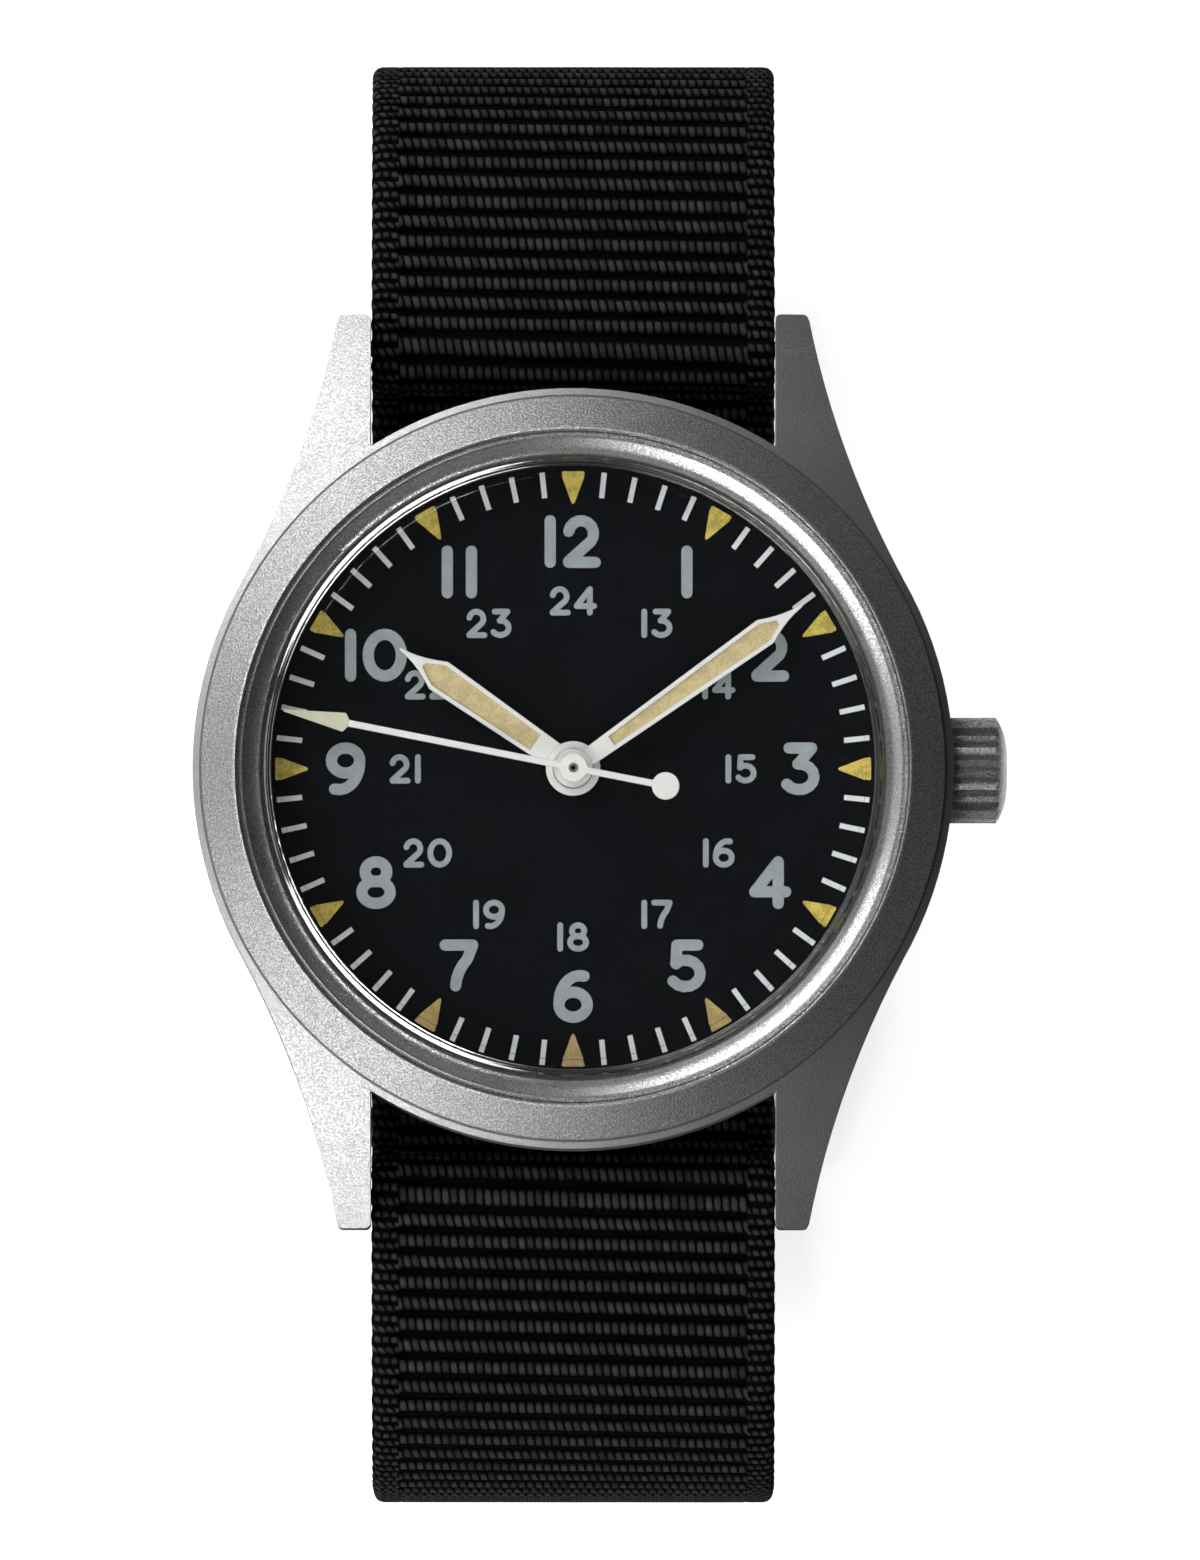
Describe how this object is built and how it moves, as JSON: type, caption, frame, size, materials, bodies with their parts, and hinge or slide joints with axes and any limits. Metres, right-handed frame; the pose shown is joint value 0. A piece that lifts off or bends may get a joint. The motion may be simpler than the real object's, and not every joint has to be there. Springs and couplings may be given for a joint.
{
  "type": "military watch",
  "caption": "Round steel field watch with a black 12/24-hour dial, fluted crown and a buckled black nylon strap, holding a hand-wound movement.",
  "frame": {"origin": "on the axis of the hands, in the plane that the buckled strap rests on, at the middle of the fixed keeper's outer face", "axes": "+Z out of the dial, +Y toward 12 o'clock, +X toward the crown at 3 o'clock"},
  "size_m": [0.0364, 0.0644, 0.0471],
  "materials": {
    "case_steel": "bead-blasted steel, fine matt grain",
    "crown_steel": "bead-blasted steel with fine flutes",
    "crystal_acrylic": "clear domed acrylic",
    "gasket_rubber": "black rubber",
    "back_steel": "matt steel with turned rings",
    "dial_black": "matt black paint",
    "track_paint": "pale grey printed paint",
    "numeral_paint": "pale blue-grey printed paint",
    "marker_lume": "aged mustard luminous paint",
    "hand_paint": "satin off-white hand",
    "hand_lume": "aged cream luminous filling",
    "ring_steel": "plain steel ring",
    "plate_brass": "nickelled brass plate",
    "bridge_nickel": "nickelled bridge",
    "screw_steel": "blued steel",
    "ruby": "clear red synthetic ruby",
    "wheel_brass": "gilt brass wheel",
    "polished_steel": "polished hardened steel",
    "spring_steel": "spring steel",
    "bar_steel": "plain steel bar",
    "nylon": "black ribbed nylon webbing",
    "keeper_nylon": "black nylon loop",
    "buckle_steel": "matt steel"
  },
  "bodies": {
    "case": {"mid_case": "case_steel", "bezel": "case_steel", "crystal": "crystal_acrylic", "crystal_gasket": "gasket_rubber", "case_back": "back_steel", "case_back_gasket": "gasket_rubber", "crown_tube": "bar_steel", "dial": "dial_black", "minute_track": "track_paint", "hour_markers": "marker_lume", "dial_numerals": "numeral_paint", "movement_ring": "ring_steel", "main_plate": "plate_brass", "barrel_bridge": "bridge_nickel", "train_bridge": "bridge_nickel", "balance_cock": "bridge_nickel", "bridge_screws": "screw_steel", "jewels": "ruby", "hairspring": "spring_steel", "spring_bar_tubes": "bar_steel", "spring_bar_springs": "spring_steel", "strap_band": "nylon", "fixed_keeper": "keeper_nylon", "buckle_frame": "buckle_steel", "buckle_bar": "bar_steel"},
    "minute_works": {"center_wheel": "wheel_brass", "cannon_pinion": "polished_steel", "minute_hand": "hand_paint", "minute_hand_lume": "hand_lume"},
    "hour_works": {"hour_wheel": "wheel_brass", "hour_hand": "hand_paint", "hour_hand_lume": "hand_lume"},
    "seconds_works": {"seconds_wheel": "wheel_brass", "second_hand": "hand_paint", "second_hand_lume": "hand_lume"},
    "third": {"third_wheel": "wheel_brass"},
    "escape": {"escape_wheel": "polished_steel"},
    "barrel": {"barrel_drum": "wheel_brass", "mainspring": "spring_steel"},
    "minute_gear": {"minute_wheel": "wheel_brass"},
    "setting_gear": {"setting_wheel": "wheel_brass"},
    "pallets": {"pallet_fork": "polished_steel"},
    "balance": {"balance_wheel": "wheel_brass"},
    "ratchet": {"ratchet_wheel": "polished_steel", "barrel_arbor": "polished_steel"},
    "crown_gear": {"crown_wheel": "polished_steel"},
    "pawl": {"click": "polished_steel"},
    "winding": {"winding_pinion": "polished_steel"},
    "crown_group": {"crown": "crown_steel", "stem": "polished_steel", "crown_gasket": "gasket_rubber"},
    "sliding_clutch": {"clutch": "polished_steel"},
    "lever": {"setting_lever": "polished_steel"},
    "yoke_arm": {"yoke": "polished_steel"},
    "tip_12_left": {"bar_tip_12_left": "bar_steel"},
    "tip_12_right": {"bar_tip_12_right": "bar_steel"},
    "tip_6_left": {"bar_tip_6_left": "bar_steel"},
    "tip_6_right": {"bar_tip_6_right": "bar_steel"},
    "keeper": {"sliding_keeper": "keeper_nylon"},
    "tongue": {"buckle_tongue": "buckle_steel"}
  },
  "joints": [
    {"name": "minute_spin", "type": "hinge", "parent": "case", "child": "minute_works", "pos_m": [0, 0, 0.04033], "axis": [0, 0, -1], "continuous": true},
    {"name": "hour_spin", "type": "hinge", "parent": "case", "child": "hour_works", "pos_m": [0, 0, 0.04033], "axis": [0, 0, -1], "continuous": true},
    {"name": "seconds_spin", "type": "hinge", "parent": "case", "child": "seconds_works", "pos_m": [0, 0, 0.04033], "axis": [0, 0, -1], "continuous": true},
    {"name": "third_spin", "type": "hinge", "parent": "case", "child": "third", "pos_m": [-0.0045, 0.0026, 0.04033], "axis": [0, 0, -1], "continuous": true},
    {"name": "escape_spin", "type": "hinge", "parent": "case", "child": "escape", "pos_m": [-0.00263, -0.00455, 0.04033], "axis": [0, 0, -1], "continuous": true},
    {"name": "barrel_spin", "type": "hinge", "parent": "case", "child": "barrel", "pos_m": [0.00293, 0.00507, 0.04033], "axis": [0, 0, -1], "continuous": true, "deforming": ["mainspring"]},
    {"name": "minute_wheel_spin", "type": "hinge", "parent": "case", "child": "minute_gear", "pos_m": [0.00312, 0, 0.04033], "axis": [0, 0, -1], "continuous": true},
    {"name": "setting_wheel_spin", "type": "hinge", "parent": "case", "child": "setting_gear", "pos_m": [0.00676, 0, 0.04033], "axis": [0, 0, -1], "continuous": true},
    {"name": "pallet_swing", "type": "hinge", "parent": "case", "child": "pallets", "pos_m": [-0.0005, -0.00629, 0.04033], "axis": [0, 0, 1], "range_deg": [-5, 5]},
    {"name": "balance_swing", "type": "hinge", "parent": "case", "child": "balance", "pos_m": [0.0023, -0.0086, 0.04033], "axis": [0, 0, 1], "range_deg": [-270, 270], "stiffness_Nm_per_rad": 0.0000002, "deforming": ["hairspring"]},
    {"name": "crown_turn", "type": "hinge", "parent": "case", "child": "winding", "pos_m": [0, 0, 0.04153], "axis": [1, 0, 0], "continuous": true},
    {"name": "crown_pull", "type": "slide", "parent": "winding", "child": "crown_group", "axis": [1, 0, 0], "range_m": [0, 0.0009]},
    {"name": "clutch_slide", "type": "slide", "parent": "winding", "child": "sliding_clutch", "axis": [-1, 0, 0], "range_m": [0, 0.00054]},
    {"name": "setting_lever_turn", "type": "hinge", "parent": "case", "child": "lever", "pos_m": [0.0116, 0.0023, 0.04033], "axis": [0, 0, 1], "range_deg": [0, 23.1]},
    {"name": "yoke_turn", "type": "hinge", "parent": "case", "child": "yoke_arm", "pos_m": [0.00925, -0.0034, 0.04033], "axis": [0, 0, 1], "range_deg": [0, 9.2]},
    {"name": "crown_wheel_spin", "type": "hinge", "parent": "case", "child": "crown_gear", "pos_m": [0.00912, 0, 0.04033], "axis": [0, 0, 1], "continuous": true},
    {"name": "ratchet_spin", "type": "hinge", "parent": "case", "child": "ratchet", "pos_m": [0.00293, 0.00507, 0.04033], "axis": [0, 0, 1], "continuous": true},
    {"name": "click_turn", "type": "hinge", "parent": "case", "child": "pawl", "pos_m": [-0.00397, 0.00983, 0.04033], "axis": [0, 0, 1], "range_deg": [0, 8], "stiffness_Nm_per_rad": 0.00002},
    {"name": "tip_12_left_press", "type": "slide", "parent": "case", "child": "tip_12_left", "axis": [1, 0, 0], "range_m": [0, 0.00075], "stiffness_N_per_m": 200, "springref_m": -0.001, "deforming": ["spring_bar_springs"]},
    {"name": "tip_12_right_press", "type": "slide", "parent": "case", "child": "tip_12_right", "axis": [-1, 0, 0], "range_m": [0, 0.00075], "stiffness_N_per_m": 200, "springref_m": -0.001, "deforming": ["spring_bar_springs"]},
    {"name": "tip_6_left_press", "type": "slide", "parent": "case", "child": "tip_6_left", "axis": [1, 0, 0], "range_m": [0, 0.00075], "stiffness_N_per_m": 200, "springref_m": -0.001, "deforming": ["spring_bar_springs"]},
    {"name": "tip_6_right_press", "type": "slide", "parent": "case", "child": "tip_6_right", "axis": [-1, 0, 0], "range_m": [0, 0.00075], "stiffness_N_per_m": 200, "springref_m": -0.001, "deforming": ["spring_bar_springs"]},
    {"name": "keeper_slide", "type": "slide", "parent": "case", "child": "keeper", "axis": [0, 1, 0], "range_m": [-0.0025, 0.0045]},
    {"name": "tongue_turn", "type": "hinge", "parent": "case", "child": "tongue", "pos_m": [0, -0.0062, 0.00365], "axis": [1, 0, 0], "range_deg": [0, 6]}
  ],
  "couplings": [
    {"joint": "hour_spin", "follows": "minute_spin", "ratio": 0.083333},
    {"joint": "seconds_spin", "follows": "minute_spin", "ratio": 60},
    {"joint": "third_spin", "follows": "minute_spin", "ratio": -8},
    {"joint": "escape_spin", "follows": "minute_spin", "ratio": -600},
    {"joint": "barrel_spin", "follows": "minute_spin", "ratio": -0.125},
    {"joint": "minute_wheel_spin", "follows": "minute_spin", "ratio": -0.33333},
    {"joint": "setting_wheel_spin", "follows": "minute_spin", "ratio": 0.6},
    {"joint": "clutch_slide", "follows": "crown_pull", "ratio": 0.6},
    {"joint": "setting_lever_turn", "follows": "crown_pull", "rad_per_m": 446.78},
    {"joint": "yoke_turn", "follows": "crown_pull", "rad_per_m": 176.44},
    {"joint": "crown_wheel_spin", "follows": "crown_turn", "ratio": 0.75},
    {"joint": "ratchet_spin", "follows": "crown_turn", "ratio": -0.45}
  ]
}
